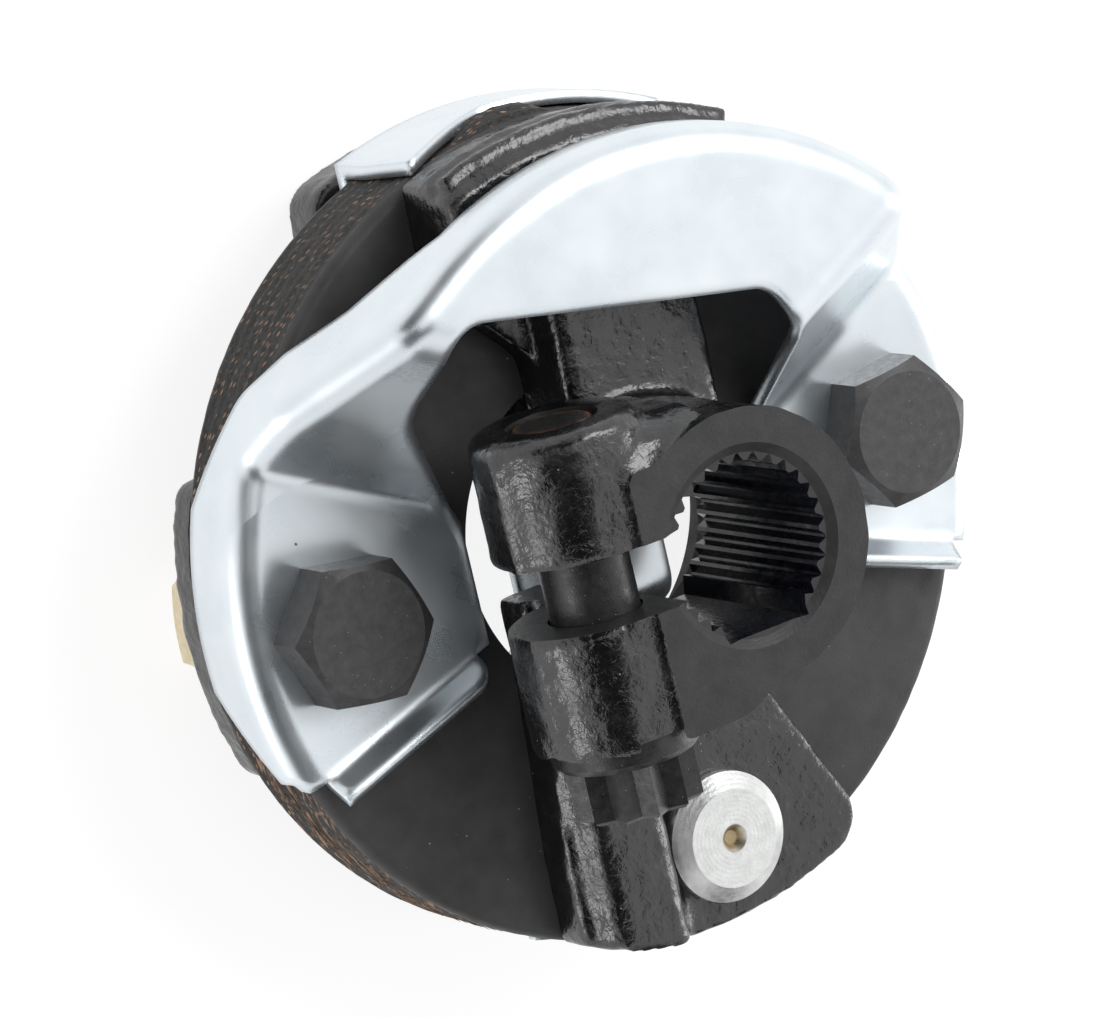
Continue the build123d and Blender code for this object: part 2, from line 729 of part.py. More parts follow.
def rear_flange():
    """Cast flange: flat bolted pads left and right, lobes that pass behind the back plate."""
    half = [
        (far, disc_back), (rear_ramp_outer_x, disc_back), (rear_ramp_inner_x, rear_lobe_front),
        (0, rear_lobe_front), (0, rear_lobe_back),
        (rear_ramp_inner_x + rear_ramp_shift_lobe, rear_lobe_back),
        (rear_ramp_outer_x + rear_ramp_shift_pad, rear_pad_back), (far, rear_pad_back),
        (far, disc_back),
    ]
    right = extrude(Plane.XZ * make_face(Polyline(*half)), far, both=True)
    stepped = right + mirror(right, about=Plane.YZ)
    ring = Circle(rear_ring_outer_r) - Circle(rear_ring_inner_r)
    lobes = Circle(rear_lobe_r) & Rectangle(2 * rear_lobe_half_width, 2 * far)
    lobes = fillet(lobes.vertices(), rear_lobe_corner_r) - Circle(rear_ring_inner_r)
    pads = Circle(rear_pad_r) & Rectangle(2 * far, 2 * rear_pad_half_width)
    pads = fillet(pads.vertices(), rear_pad_corner_r)
    pads -= Rectangle(2 * rear_pad_inner_x, 2 * far)
    part = stepped & prism(ring + lobes + pads, rear_lobe_back - past, disc_back + past)
    for place in bolt_places:
        part -= rod(bolt_r + bolt_hole_gap, rear_lobe_back, disc_back + past, place)
    return part


# ---------------------------------------------------------------- build and write

pieces = {
    "clamp_flange": clamp_flange(),
    "pinch_bolt": pinch_bolt(),
    "flexible_disc": flexible_disc(),
    "stop_bridge": stop_bridge(),
    "back_plate": back_plate(),
    "rear_flange": rear_flange(),
    "left_bolt": through_bolt(bolt_places[0], bolt_left_turn),
    "right_bolt": through_bolt(bolt_places[1], bolt_right_turn),
    "left_nut": thin_nut(bolt_places[0]),
    "right_nut": thin_nut(bolt_places[1]),
    "upper_rivet": rivet(upper_rivet_place, disc_front + upper_rivet_seat),
    "lower_rivet": rivet(lower_rivet_place, disc_front + foot_height),
}
for name, (place, inner) in zip(
    ("left_sleeve", "right_sleeve", "upper_rivet_sleeve", "lower_rivet_sleeve"), disc_sleeves()
):
    pieces[name] = sleeve(inner, place)

os.makedirs("parts", exist_ok=True)
for name, piece in pieces.items():
    export_step(piece, f"parts/{name}.step")
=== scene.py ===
# %% [markdown]
# # A steering disc coupling
#
# This part joins the lower end of a steering shaft to the gearbox. A splined hub is cast
# in one piece with two arms and riveted to a thick disc of rubber and fabric, and a
# flange behind the disc is bolted through it at the two free points. A bright pressed
# bridge keeps the hub from tearing away if the disc fails.
#
# Every piece could be modelled again from nothing, but the solids of the construction
# model already hold every true size. So we start from them, and give each piece the
# surface that its making leaves on it: sand for the castings, a punch for the disc, a
# press for the sheets.

# %% Load the frame
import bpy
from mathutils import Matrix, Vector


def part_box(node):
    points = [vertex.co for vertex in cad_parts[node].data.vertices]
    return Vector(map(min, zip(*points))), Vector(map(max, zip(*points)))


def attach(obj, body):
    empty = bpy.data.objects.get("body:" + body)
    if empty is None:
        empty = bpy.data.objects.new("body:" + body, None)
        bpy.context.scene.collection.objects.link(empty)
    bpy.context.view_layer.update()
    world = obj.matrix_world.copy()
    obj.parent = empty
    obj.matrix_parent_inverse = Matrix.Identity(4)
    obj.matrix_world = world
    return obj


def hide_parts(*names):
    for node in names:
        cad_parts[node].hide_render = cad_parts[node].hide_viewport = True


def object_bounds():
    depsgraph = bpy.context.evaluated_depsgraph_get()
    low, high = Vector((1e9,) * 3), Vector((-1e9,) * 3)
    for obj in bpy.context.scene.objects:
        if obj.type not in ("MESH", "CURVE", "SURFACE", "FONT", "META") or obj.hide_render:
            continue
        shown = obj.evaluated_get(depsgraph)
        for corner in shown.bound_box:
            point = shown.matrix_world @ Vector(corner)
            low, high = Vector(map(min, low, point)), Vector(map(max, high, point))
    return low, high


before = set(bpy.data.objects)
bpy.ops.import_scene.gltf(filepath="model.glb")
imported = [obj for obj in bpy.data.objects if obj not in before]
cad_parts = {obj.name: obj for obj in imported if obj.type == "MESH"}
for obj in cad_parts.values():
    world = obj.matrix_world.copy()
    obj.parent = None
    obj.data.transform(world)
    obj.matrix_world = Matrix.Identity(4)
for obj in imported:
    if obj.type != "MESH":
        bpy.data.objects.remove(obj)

cad_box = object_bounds()
print("pieces in the frame:", len(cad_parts))

# %% [markdown]
# The scene is in metres, but a part of this size is easier to think about in
# millimetres, so one name turns the one into the other. The levels that several pieces
# share could be typed in, but are read from the frame, so they follow the solids: the
# top of the hub, and the two faces of the disc. The pinch bolt's axis is shared too.

# %% Units and shared levels
import math

import bmesh
import bpy
from mathutils import Matrix, Vector, noise

mm = 0.001
nose_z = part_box("clamp_flange")[1].z
disc_low, disc_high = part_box("flexible_disc")
disc_r = disc_high.x
floor_z = cad_box[0].z
ear_x, ear_z = -14.4, 14.5
print("disc radius", round(disc_r / mm, 2), "mm, nose", round(nose_z / mm, 2), "mm")

# %% [markdown]
# ## Camera
#
# A long lens a good half metre away keeps the disc's round shape honest, where a short
# lens close by would swell the hub. The coupling is looked at from above and to the left
# of its axis, and the camera is turned so that the arch of the bridge stands at the top.
# A camera could be aimed at a target, but then its turn about its own line of sight
# stays open. So three directions at right angles say how it is held: its right, its
# down and the way it looks.

# %% Camera
camera_place = Vector((-313.42, 144.82, 536.70)) * mm
camera_right = Vector((0.82205813, -0.22131756, 0.52463222))
camera_down = Vector((-0.30367922, -0.94980487, 0.07516403))
camera_ahead = Vector((0.48166312, -0.22110911, -0.84800437))

scene = bpy.context.scene
lens = bpy.data.cameras.new("camera")
lens.sensor_width = 36.0
lens.lens = 198.93
camera = bpy.data.objects.new("camera", lens)
scene.collection.objects.link(camera)
held = Matrix((camera_right, -camera_down, -camera_ahead)).transposed().to_4x4()
camera.matrix_world = Matrix.Translation(camera_place) @ held
scene.camera = camera
scene.view_settings.view_transform = "Standard"
print("camera stands", round(camera_place.length / mm), "mm from the hub")

# %% [markdown]
# ## Helpers for finishes
#
# Every finish here is a small web of nodes round one Principled shader. Painted images
# could do the same, but they would need every mesh unwrapped, and nodes that read the
# place on the piece follow any shape.
#
# Three helpers keep the later cells short: one starts a finish, one adds a node with its
# settings and inputs, and one does arithmetic with sockets.

# %% Start a finish


def finish(name, colour, roughness, metallic=0.0):
    """A new material, its node tree and its Principled shader."""
    material = bpy.data.materials.new(name)
    material.use_nodes = True
    shader = material.node_tree.nodes["Principled BSDF"]
    shader.inputs["Base Color"].default_value = (*colour, 1.0)
    shader.inputs["Roughness"].default_value = roughness
    shader.inputs["Metallic"].default_value = metallic
    return material, material.node_tree, shader


def node(tree, kind, inputs=None, **settings):
    """A node of a kind. Each input is a value or another node's output socket."""
    made = tree.nodes.new("ShaderNode" + kind)
    for name, value in settings.items():
        setattr(made, name, value)
    for name, value in (inputs or {}).items():
        if isinstance(value, bpy.types.NodeSocket):
            tree.links.new(value, made.inputs[name])
        else:
            made.inputs[name].default_value = value
    return made


def maths(tree, operation, a, b=0.0, c=0.0):
    """One step of arithmetic, on numbers or on other nodes' outputs."""
    made = node(tree, "Math", operation=operation)
    for socket, value in zip(made.inputs, (a, b, c)):
        if isinstance(value, bpy.types.NodeSocket):
            tree.links.new(value, socket)
        else:
            socket.default_value = value
    return made.outputs["Value"]


print("finish, node and maths are ready")

# %% [markdown]
# The next helpers say where a point of the surface lies on the part. They read the
# piece's own coordinates, which are the part's, so a mark can be set down at a true
# place: a rust spot by its distance from a point, rings by their distance from an axis.

# %% Places on the part


def place(tree, stretch=(1, 1, 1)):
    """The point on the piece, stretched along its axes."""
    point = node(tree, "TexCoord").outputs["Object"]
    return node(tree, "Mapping", {"Vector": point, "Scale": stretch}).outputs["Vector"]


def split(tree, point):
    """A point's X, Y and Z as three sockets."""
    return node(tree, "SeparateXYZ", {"Vector": point}).outputs


def flat_point(tree, x, y):
    """A point in a plane, from two sockets."""
    return node(tree, "CombineXYZ", {"X": x, "Y": y}).outputs["Vector"]


def distance(tree, point, spot=(0.0, 0.0, 0.0)):
    """How far a point is from a spot, in metres."""
    return node(tree, "VectorMath", {0: point, 1: spot}, operation="DISTANCE").outputs["Value"]


def off_centre(tree, centre):
    """Distance from an upright line through a place on the part."""
    x, y, _ = split(tree, place(tree))
    return distance(tree, flat_point(tree, x, y), (centre.x, centre.y, 0.0))


def waves(tree, length, pitch):
    """Even waves along a length, a pitch in millimetres apart."""
    return maths(tree, "SINE", maths(tree, "MULTIPLY", length, 2 * math.pi / (pitch * mm)))


print("points, distances and waves are ready")

# %% [markdown]
# Two more give noise and what is made of it. Noise is scaled by the size of the lumps
# that it draws, so a finish can be read in millimetres. A ramp turns it into a tone or a
# roughness.

# %% Noise and ramps


def grain(tree, size, detail=3.0, stretch=(1, 1, 1), rough=0.55, twist=0.0):
    """Noise whose lumps are about this many millimetres across, from 0 to 1."""
    return node(tree, "TexNoise", {
        "Vector": place(tree, stretch), "Scale": 1 / (size * mm), "Detail": detail,
        "Roughness": rough, "Distortion": twist}).outputs["Fac"]


def ramp(tree, value, low, high, start=0.0, end=1.0):
    """A number or colour that runs from low to high as the value goes from start to end."""
    made = node(tree, "MapRange" if isinstance(low, float) else "ValToRGB")
    if isinstance(low, float):
        tree.links.new(value, made.inputs["Value"])
        for name, number in (("From Min", start), ("From Max", end), ("To Min", low), ("To Max", high)):
            made.inputs[name].default_value = number
        return made.outputs["Result"]
    tree.links.new(value, made.inputs["Fac"])
    first, last = made.color_ramp.elements
    first.position, last.position = start, end
    first.color, last.color = (*low, 1.0), (*high, 1.0)
    return made.outputs["Color"]


print("noise and ramps are ready")

# %% [markdown]
# The last ones lay things over each other: a colour over a colour, specks of dust over
# both, and relief over relief. Each bump bends the light a little more than the one below
# it, and under them all a bevel node can round the edges.

# %% Layers


def mix(tree, share, a, b):
    """Colour a where the share is 0 and colour b where it is 1."""
    made = node(tree, "Mix", data_type="RGBA")
    for socket, value in zip((made.inputs["Factor"], made.inputs[6], made.inputs[7]), (share, a, b)):
        if isinstance(value, bpy.types.NodeSocket):
            tree.links.new(value, socket)
        else:
            socket.default_value = (*value, 1.0) if isinstance(value, tuple) else value
    return made.outputs[2]


def specks(tree, spacing, size, share):
    """1 on scattered specks: their spacing and size in millimetres, and what share exists."""
    dots = node(tree, "TexVoronoi", {"Vector": place(tree), "Scale": 1 / (spacing * mm)})
    near = ramp(tree, dots.outputs["Distance"], 1.0, 0.0, size / spacing * 0.5, size / spacing)
    pick = node(tree, "SeparateColor", {"Color": dots.outputs["Color"]}).outputs["Red"]
    return maths(tree, "MULTIPLY", near, ramp(tree, pick, 1.0, 0.0, share - 0.01, share))


def bump(tree, shader, layers, soften=0.0):
    """Stacks height layers, each a (height, depth in millimetres) pair, under the shader."""
    below = None
    if soften:
        below = node(tree, "Bevel", {"Radius": soften * mm}, samples=8).outputs["Normal"]
    for height, depth in layers:
        made = node(tree, "Bump", {"Height": height, "Distance": depth * mm})
        if below is not None:
            tree.links.new(below, made.inputs["Normal"])
        below = made.outputs["Normal"]
    tree.links.new(below, shader.inputs["Normal"])


print("layers are ready")

# %% [markdown]
# ## Black paint over a sand casting
#
# The hub and the rear flange come out of a sand mould with a skin like orange peel, and
# are dipped in glossy black paint that pools between the grains. All of that could be
# bump, but then the edges would stay perfectly straight. So the large lumps will be in
# the mesh, and the bump only adds what is too fine for it: a wrinkle of about a
# millimetre, and a finer grain that softens the highlights.

# %% Cast paint
cast_paint, tree, shader = finish("cast_paint", (0.008, 0.008, 0.009), 0.2)
wrinkle = grain(tree, 1.0, detail=3.0, twist=0.2)
fine = grain(tree, 0.3, detail=2.0)
tree.links.new(ramp(tree, grain(tree, 4.0), 0.16, 0.3, 0.35, 0.65), shader.inputs["Roughness"])
pooled = ramp(tree, grain(tree, 1.6), (0.004, 0.004, 0.005), (0.012, 0.011, 0.012), 0.35, 0.75)
tree.links.new(mix(tree, specks(tree, 1.4, 0.1, 0.3), pooled, (0.45, 0.38, 0.28)),
               shader.inputs["Base Color"])
bump(tree, shader, [(wrinkle, 0.15), (fine, 0.012)])
shader.inputs["IOR"].default_value = 1.75
print(cast_paint.name, "has", len(tree.nodes), "nodes")

# %% [markdown]
# The nose of the hub, the slit and the seats are machined after casting, and the paint on
# them is thin and dull. The cutter leaves fine rings round the spline's axis, which are
# waves along the distance from that axis. Inside the spline the paint is thick again, and
# looks blue-black.

# %% Machined and splined paint
machined_paint, tree, shader = finish("machined_paint", (0.03, 0.03, 0.031), 0.42)
tree.links.new(ramp(tree, grain(tree, 2.5, detail=5.0), (0.016, 0.016, 0.017), (0.034, 0.034, 0.035),
                    0.3, 0.7), shader.inputs["Base Color"])
tree.links.new(ramp(tree, grain(tree, 0.5), 0.36, 0.5, 0.3, 0.7), shader.inputs["Roughness"])
cutter_feed = 0.31
ring_marks = waves(tree, off_centre(tree, Vector()), cutter_feed)
bump(tree, shader, [(ring_marks, 0.001), (grain(tree, 0.35), 0.035)])

spline_paint, tree, shader = finish("spline_paint", (0.008, 0.009, 0.016), 0.2)
tree.links.new(ramp(tree, grain(tree, 1.2), 0.12, 0.3, 0.35, 0.65), shader.inputs["Roughness"])
bump(tree, shader, [(grain(tree, 0.5, stretch=(1, 1, 0.25)), 0.03)])
print("two more paints")

# %% [markdown]
# ## Zinc-plated sheet
#
# The bridge and the back plate are pressed from steel sheet and plated bright. Fresh zinc
# is a soft mirror: it shows the room as broad pale and dark patches. A plain grey would
# look like paint, so the finish is metallic, and slow clouds change its tone and its
# roughness. One spot of rust sits on the left pad, above its bolt.

# %% Zinc tones
rust_spot = Vector((-37.6, 10.2, -1.6)) * mm
rust_spot_r = 0.35
zinc_metallic = 0.88

zinc, tree, shader = finish("zinc", (0.80, 0.83, 0.86), 0.28, 1.0)
clouds = grain(tree, 6.0, detail=2.0)
tree.links.new(ramp(tree, clouds, 0.24, 0.33, 0.2, 0.8), shader.inputs["Roughness"])
from_spot = distance(tree, place(tree), rust_spot)
ragged = maths(tree, "MULTIPLY_ADD", grain(tree, 0.4), rust_spot_r * mm, from_spot)
rusty = ramp(tree, ragged, 1.0, 0.0, 0.8 * rust_spot_r * mm, 1.1 * rust_spot_r * mm)
plated = ramp(tree, clouds, (0.72, 0.79, 0.84), (0.83, 0.88, 0.91), 0.2, 0.8)
tree.links.new(mix(tree, rusty, plated, (0.16, 0.05, 0.02)), shader.inputs["Base Color"])
tree.links.new(maths(tree, "MULTIPLY_ADD", rusty, -zinc_metallic, zinc_metallic),
               shader.inputs["Metallic"])
print("rust spot", 2 * rust_spot_r, "mm across")

# %% [markdown]
# A press can't fold sheet sharply, so a bevel node lets every bend run softly into the
# flat beside it. That only turns the light, and the sheet keeps its size. The tightened
# bolts draw the pads in, so a shallow dish surrounds each of them. Tumbling with other
# parts leaves hair scratches in every direction, so two stretched noises cross.

# %% Zinc relief
pressed_bend_r = 1.5
dish_inner_r, dish_outer_r = 4.0, 16.0
bolt_x = (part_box("right_bolt")[0].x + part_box("right_bolt")[1].x) / 2
x, y, _ = split(tree, place(tree))
from_bolt = maths(tree, "SUBTRACT", maths(tree, "ABSOLUTE", x), bolt_x)
away = distance(tree, flat_point(tree, from_bolt, y))
dish = ramp(tree, away, 0.0, 1.0, dish_inner_r * mm, dish_outer_r * mm)
along_x = grain(tree, 0.16, detail=2.0, stretch=(0.08, 1, 1))
along_y = grain(tree, 0.16, detail=2.0, stretch=(1, 0.08, 1))
crossed = maths(tree, "MULTIPLY", along_x, along_y)
bump(tree, shader, [(dish, 1.3), (grain(tree, 9.0, detail=0.0), 0.10), (crossed, 0.003),
                    (grain(tree, 0.2), 0.006)], soften=pressed_bend_r)
print("zinc has", len(tree.nodes), "nodes")

# %% [markdown]
# ## Rubber and fabric
#
# The disc is built up from plies of rubbered cloth and cut out with a punch. Its faces are
# plain moulded rubber, satin with a little dust. One flat black would look like plastic,
# so a slow bloom lightens it in patches.

# %% Rubber faces
rubber_face, tree, shader = finish("rubber_face", (0.03, 0.03, 0.03), 0.55)
bloom = ramp(tree, grain(tree, 7.0, detail=5.0), (0.03, 0.029, 0.03), (0.06, 0.058, 0.06), 0.3, 0.7)
tree.links.new(mix(tree, specks(tree, 1.6, 0.1, 0.4), bloom, (0.5, 0.48, 0.46)),
               shader.inputs["Base Color"])
tree.links.new(ramp(tree, grain(tree, 3.0), 0.48, 0.66, 0.35, 0.65), shader.inputs["Roughness"])
bump(tree, shader, [(grain(tree, 0.3, detail=2.0), 0.03)])
print(rubber_face.name, "has", len(tree.nodes), "nodes")

# %% [markdown]
# The cut rim shows the ends of the threads as short tan dashes, in rows that climb across
# the plies. Threads could be laid one by one as geometry, but there are thousands, so
# only the loose ones will be. To draw the rest on a curved rim we unroll it: one
# coordinate is the way round in metres, the other is the height. Cells of a Voronoi
# pattern, stretched along the way round, then give one dash each, and patches drop out.

# %% Thread ends on the rim
fabric_rim, tree, shader = finish("fabric_rim", (0.04, 0.038, 0.036), 0.75)
x, y, z = split(tree, place(tree))
around = maths(tree, "MULTIPLY", maths(tree, "ARCTAN2", y, x), disc_r)
climb = maths(tree, "MULTIPLY_ADD", around, 0.35, z)
unrolled = flat_point(tree, around, climb)
dash_length, dash_pitch = 1.15, 0.55
cells = node(tree, "Mapping", {"Vector": unrolled,
                               "Scale": (1 / (dash_length * mm), 1 / (dash_pitch * mm), 1)})
thread = node(tree, "TexVoronoi", {"Vector": cells.outputs["Vector"], "Scale": 1.0, "Randomness": 0.5})
pick = node(tree, "SeparateColor", {"Color": thread.outputs["Color"]}).outputs["Red"]
chosen = ramp(tree, pick, 0.0, 1.0, 0.35, 0.4)
patchy = ramp(tree, grain(tree, 5.0), 0.35, 1.0, 0.35, 0.55)
dash = maths(tree, "MULTIPLY", ramp(tree, thread.outputs["Distance"], 1.0, 0.0, 0.2, 0.34), chosen)
dash = maths(tree, "MULTIPLY", dash, patchy)
print("dashes", dash_length, "by", dash_pitch, "mm")

# %% [markdown]
# Low on the left the rim was dragged in cutting, and whole strands lie bare. They come
# from a noise on the same unrolled rim, stretched six times along it, and fade out away
# from that place. Between the threads the rim is dark rubbered cloth.

# %% Bare strands and cloth
torn_place = Vector((-40.0, -20.0, -9.0)) * mm
torn_inner_r, torn_outer_r = 14.0, 30.0
from_torn = distance(tree, place(tree), torn_place)
torn = ramp(tree, from_torn, 1.0, 0.0, torn_inner_r * mm, torn_outer_r * mm)
drawn_out = node(tree, "Mapping", {"Vector": unrolled, "Scale": (0.16, 1, 1)}).outputs["Vector"]
strand = node(tree, "TexNoise", {"Vector": drawn_out, "Scale": 1 / (0.6 * mm),
                                 "Detail": 2.0}).outputs["Fac"]
bare = maths(tree, "MULTIPLY", ramp(tree, strand, 0.0, 1.0, 0.56, 0.62), torn)
dash = maths(tree, "MAXIMUM", dash, bare)
weave = grain(tree, 0.5, detail=3.0, stretch=(1, 1, 2.0))
cloth = ramp(tree, weave, (0.014, 0.013, 0.013), (0.06, 0.058, 0.056), 0.35, 0.7)
copper = ramp(tree, grain(tree, 1.5), (0.26, 0.13, 0.07), (0.55, 0.36, 0.24), 0.35, 0.65)
tree.links.new(mix(tree, dash, cloth, copper), shader.inputs["Base Color"])
bump(tree, shader, [(weave, 0.12), (dash, 0.06)])
print("rim finish has", len(tree.nodes), "nodes")

# %% [markdown]
# ## Steel fasteners
#
# The fasteners differ in their coats more than in their steel, so one function makes them
# all from two tones, a roughness and a fine sparkle. The through bolts are phosphated,
# which leaves a dark, dry crystal coat. The thread on their tails is waves up the bolt in
# the relief: cut into the mesh it would cost thousands of faces, for a place that hardly
# shows.

# %% Phosphated bolts


def steel(name, dark, light, roughness, metallic, sparkle):
    """A coated steel that mottles between two tones, with pale specks."""
    material, tree, shader = finish(name, dark, roughness, metallic)
    tone = ramp(tree, grain(tree, 1.3, detail=6.0, rough=0.7), dark, light, 0.3, 0.72)
    tree.links.new(mix(tree, specks(tree, 0.6, 0.05, 0.4), tone, (0.55, 0.54, 0.52)),
                   shader.inputs["Base Color"])
    tree.links.new(ramp(tree, grain(tree, 0.8), roughness - 0.08, roughness + 0.08, 0.3, 0.7),
                   shader.inputs["Roughness"])
    bump(tree, shader, [(grain(tree, 0.18, detail=2.0), sparkle)])
    return material


def coat_of(material):
    """A steel's tree, its shader and the socket that gives its colour."""
    tree = material.node_tree
    shader = tree.nodes["Principled BSDF"]
    return tree, shader, shader.inputs["Base Color"].links[0].from_socket


thread_pitch, thread_depth = 1.06, 0.35
thread_start, thread_full = 8.0, 7.0
phosphate = steel("phosphate", (0.045, 0.043, 0.045), (0.085, 0.082, 0.084), 0.38, 0.1, 0.03)
tree, shader, coat = coat_of(phosphate)
height = split(tree, place(tree))["Z"]
tail = ramp(tree, height, 1.0, 0.0, floor_z + thread_full * mm, floor_z + thread_start * mm)
ridges = maths(tree, "MULTIPLY", waves(tree, height, thread_pitch), tail)
bump(tree, shader, [(ridges, thread_depth), (grain(tree, 0.18), 0.03)])
print("thread of", thread_pitch, "mm on the tails")

# %% [markdown]
# The pinch bolt's far end has a rusty rim, where its coat was cut away. Two ramps pick it
# out, one by the distance from the bolt's axis and one by the way along it, and noise
# breaks it up.

# %% Pinch bolt
rust_inner_r, rust_outer_r = 3.1, 3.9
pinch_steel = steel("pinch_steel", (0.022, 0.022, 0.024), (0.05, 0.05, 0.052), 0.33, 0.3, 0.03)
tree, shader, coat = coat_of(pinch_steel)
far_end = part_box("pinch_bolt")[1].y
axis = Vector((ear_x, 0, ear_z)) * mm
point = node(tree, "VectorMath", {0: place(tree), 1: axis}, operation="SUBTRACT").outputs["Vector"]
x, y, z = split(tree, point)
off_axis = distance(tree, flat_point(tree, x, z))
at_rim = ramp(tree, off_axis, 0.0, 1.0, rust_inner_r * mm, rust_outer_r * mm)
at_end = ramp(tree, y, 0.0, 1.0, far_end - 1.2 * mm, far_end - 0.6 * mm)
blotch = ramp(tree, grain(tree, 1.2, detail=4.0), 0.0, 1.0, 0.38, 0.55)
rust = maths(tree, "MULTIPLY", maths(tree, "MULTIPLY", at_rim, at_end), blotch)
tree.links.new(mix(tree, rust, coat, (0.20, 0.10, 0.045)), shader.inputs["Base Color"])
print("rust from", rust_inner_r, "mm off the bolt's axis")

# %% [markdown]
# The nuts are yellow zinc and the sleeves are plain turned steel. The rivets are pale
# zinc, scuffed in rings by the tool that spun them down, with a brassy patch in the
# dimple where it pressed.

# %% Nuts, sleeves and rivets
dimple_inner_r, dimple_outer_r = 1.0, 1.7
yellow_zinc = steel("yellow_zinc", (0.64, 0.53, 0.34), (0.84, 0.75, 0.55), 0.35, 0.9, 0.02)
turned_steel = steel("turned_steel", (0.30, 0.30, 0.31), (0.46, 0.46, 0.47), 0.38, 1.0, 0.015)


def rivet_finish(node_name):
    """Pale zinc with scuffs round the rivet's own axis and a brassy dimple."""
    material = steel(node_name + "_steel", (0.66, 0.67, 0.66), (0.84, 0.85, 0.84), 0.42, 0.85, 0.03)
    tree, shader, coat = coat_of(material)
    low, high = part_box(node_name)
    off_axis = off_centre(tree, (low + high) / 2)
    brassy = ramp(tree, off_axis, 1.0, 0.0, dimple_inner_r * mm, dimple_outer_r * mm)
    tree.links.new(mix(tree, brassy, coat, (0.42, 0.33, 0.2)), shader.inputs["Base Color"])
    scuffs = maths(tree, "MULTIPLY", waves(tree, off_axis, 0.5), grain(tree, 1.5))
    bump(tree, shader, [(scuffs, 0.005), (grain(tree, 0.3), 0.03)])
    return material


print("yellow zinc, turned steel and the rivets' finish are ready")

# %% [markdown]
# ## Working a mesh
#
# Modifiers do the shaping, and their result is kept as a plain mesh. They could stay live
# in a stack, but booleans and displacement follow each other here as they do in the
# workshop: first the casting, then the machining.

# %% Keep a piece


def piece(name, mesh):
    """Turns a bmesh into a piece of the scene."""
    data = bpy.data.meshes.new(name)
    mesh.to_mesh(data)
    mesh.free()
    made = bpy.data.objects.new(name, data)
    scene.collection.objects.link(made)
    return made


def work(obj, kind, **settings):
    """Applies one modifier to a piece and keeps the result as its mesh."""
    modifier = obj.modifiers.new(kind.lower(), kind)
    for name, value in settings.items():
        setattr(modifier, name, value)
    bpy.context.view_layer.update()
    graph = bpy.context.evaluated_depsgraph_get()
    mesh = bpy.data.meshes.new_from_object(obj.evaluated_get(graph))
    obj.modifiers.clear()
    obj.data = mesh
    return obj


def shade(obj, sharp=32.0):
    """Smooth shading that breaks at real edges."""
    obj.data.shade_smooth()
    obj.data.set_sharp_from_angle(angle=math.radians(sharp))
    return obj


print("pieces can be made, worked and shaded")

# %% [markdown]
# Bars, blocks and tubes are all that the workshop needs. They serve as metal that is
# added and, wrapped as a tool, as the space that a cutter takes away. Bars and blocks
# could be objects of their own, but as shapes inside one bmesh they make one piece or
# one tool together.

# %% Bars and blocks


def add_bar(mesh, radius, low, high, centre=(0, 0), along="Z", low_radius=None, segments=96):
    """Adds a round bar to a bmesh, in millimetres, along Z or along Y at an (x, z) centre."""
    turn = Matrix.Identity(4)
    middle = Vector((centre[0], centre[1], (low + high) / 2))
    if along == "Y":
        turn = Matrix.Rotation(math.radians(-90), 4, "X")
        middle = Vector((centre[0], (low + high) / 2, centre[1]))
    bmesh.ops.create_cone(
        mesh, cap_ends=True, segments=segments, depth=(high - low) * mm,
        radius1=(low_radius or radius) * mm, radius2=radius * mm,
        matrix=Matrix.Translation(middle * mm) @ turn)


def add_block(mesh, low, high):
    """Adds a block between two corners, in millimetres."""
    low, high = Vector(low) * mm, Vector(high) * mm
    size = Matrix.Diagonal((*(high - low), 1.0))
    bmesh.ops.create_cube(mesh, size=1.0, matrix=Matrix.Translation((low + high) / 2) @ size)


print("bars and blocks are ready")

# %% [markdown]
# A tube is a row of rings joined side by side. It gives the beads of the parting line,
# the spline's cutter and the loose threads.

# %% Tubes and beads


def add_tube(mesh, rings):
    """Joins rings of points, in metres, into a tube with closed ends."""
    rings = [[mesh.verts.new(point) for point in ring] for ring in rings]
    mesh.faces.new(rings[0][::-1])
    mesh.faces.new(rings[-1])
    for ring, after in zip(rings, rings[1:]):
        for side in range(len(ring)):
            other = (side + 1) % len(ring)
            mesh.faces.new((ring[side], ring[other], after[other], after[side]))


def add_bead(mesh, ring_r, z, start, end, bead_r, steps=60, sides=10):
    """Adds a round bead along an arc about the Z axis, between two angles in degrees."""
    rings = []
    for step in range(steps + 1):
        angle = math.radians(start + (end - start) * step / steps)
        out = Vector((math.cos(angle), math.sin(angle), 0))
        turns = [2 * math.pi * side / sides for side in range(sides)]
        rings.append([(out * (ring_r + bead_r * math.cos(turn))
                       + Vector((0, 0, z + bead_r * math.sin(turn)))) * mm for turn in turns])
    add_tube(mesh, rings)


print("tubes and beads are ready")

# %% [markdown]
# A boolean takes a tool away from a piece, and the cut faces take the tool's material. A
# boolean that meets a mesh folded through itself can lose most of it without a word, so
# the count of faces is looked at after each cut.

# %% Cutting tools


def tool(name, material, *fillers):
    """A cutting tool: a closed mesh that leaves its own material where it cuts."""
    mesh = bmesh.new()
    for fill in fillers:
        fill(mesh)
    bmesh.ops.recalc_face_normals(mesh, faces=mesh.faces)
    made = piece(name, mesh)
    made.data.materials.append(material)
    return made


def cut(obj, cutter):
    """Takes a tool's space out of a piece, and throws the tool away."""
    before = len(obj.data.polygons)
    work(obj, "BOOLEAN", operation="DIFFERENCE", object=cutter, solver="EXACT",
         material_mode="TRANSFER")
    assert len(obj.data.polygons) > before / 2, cutter.name
    bpy.data.objects.remove(cutter)
    return obj


print("cutting tools are ready")

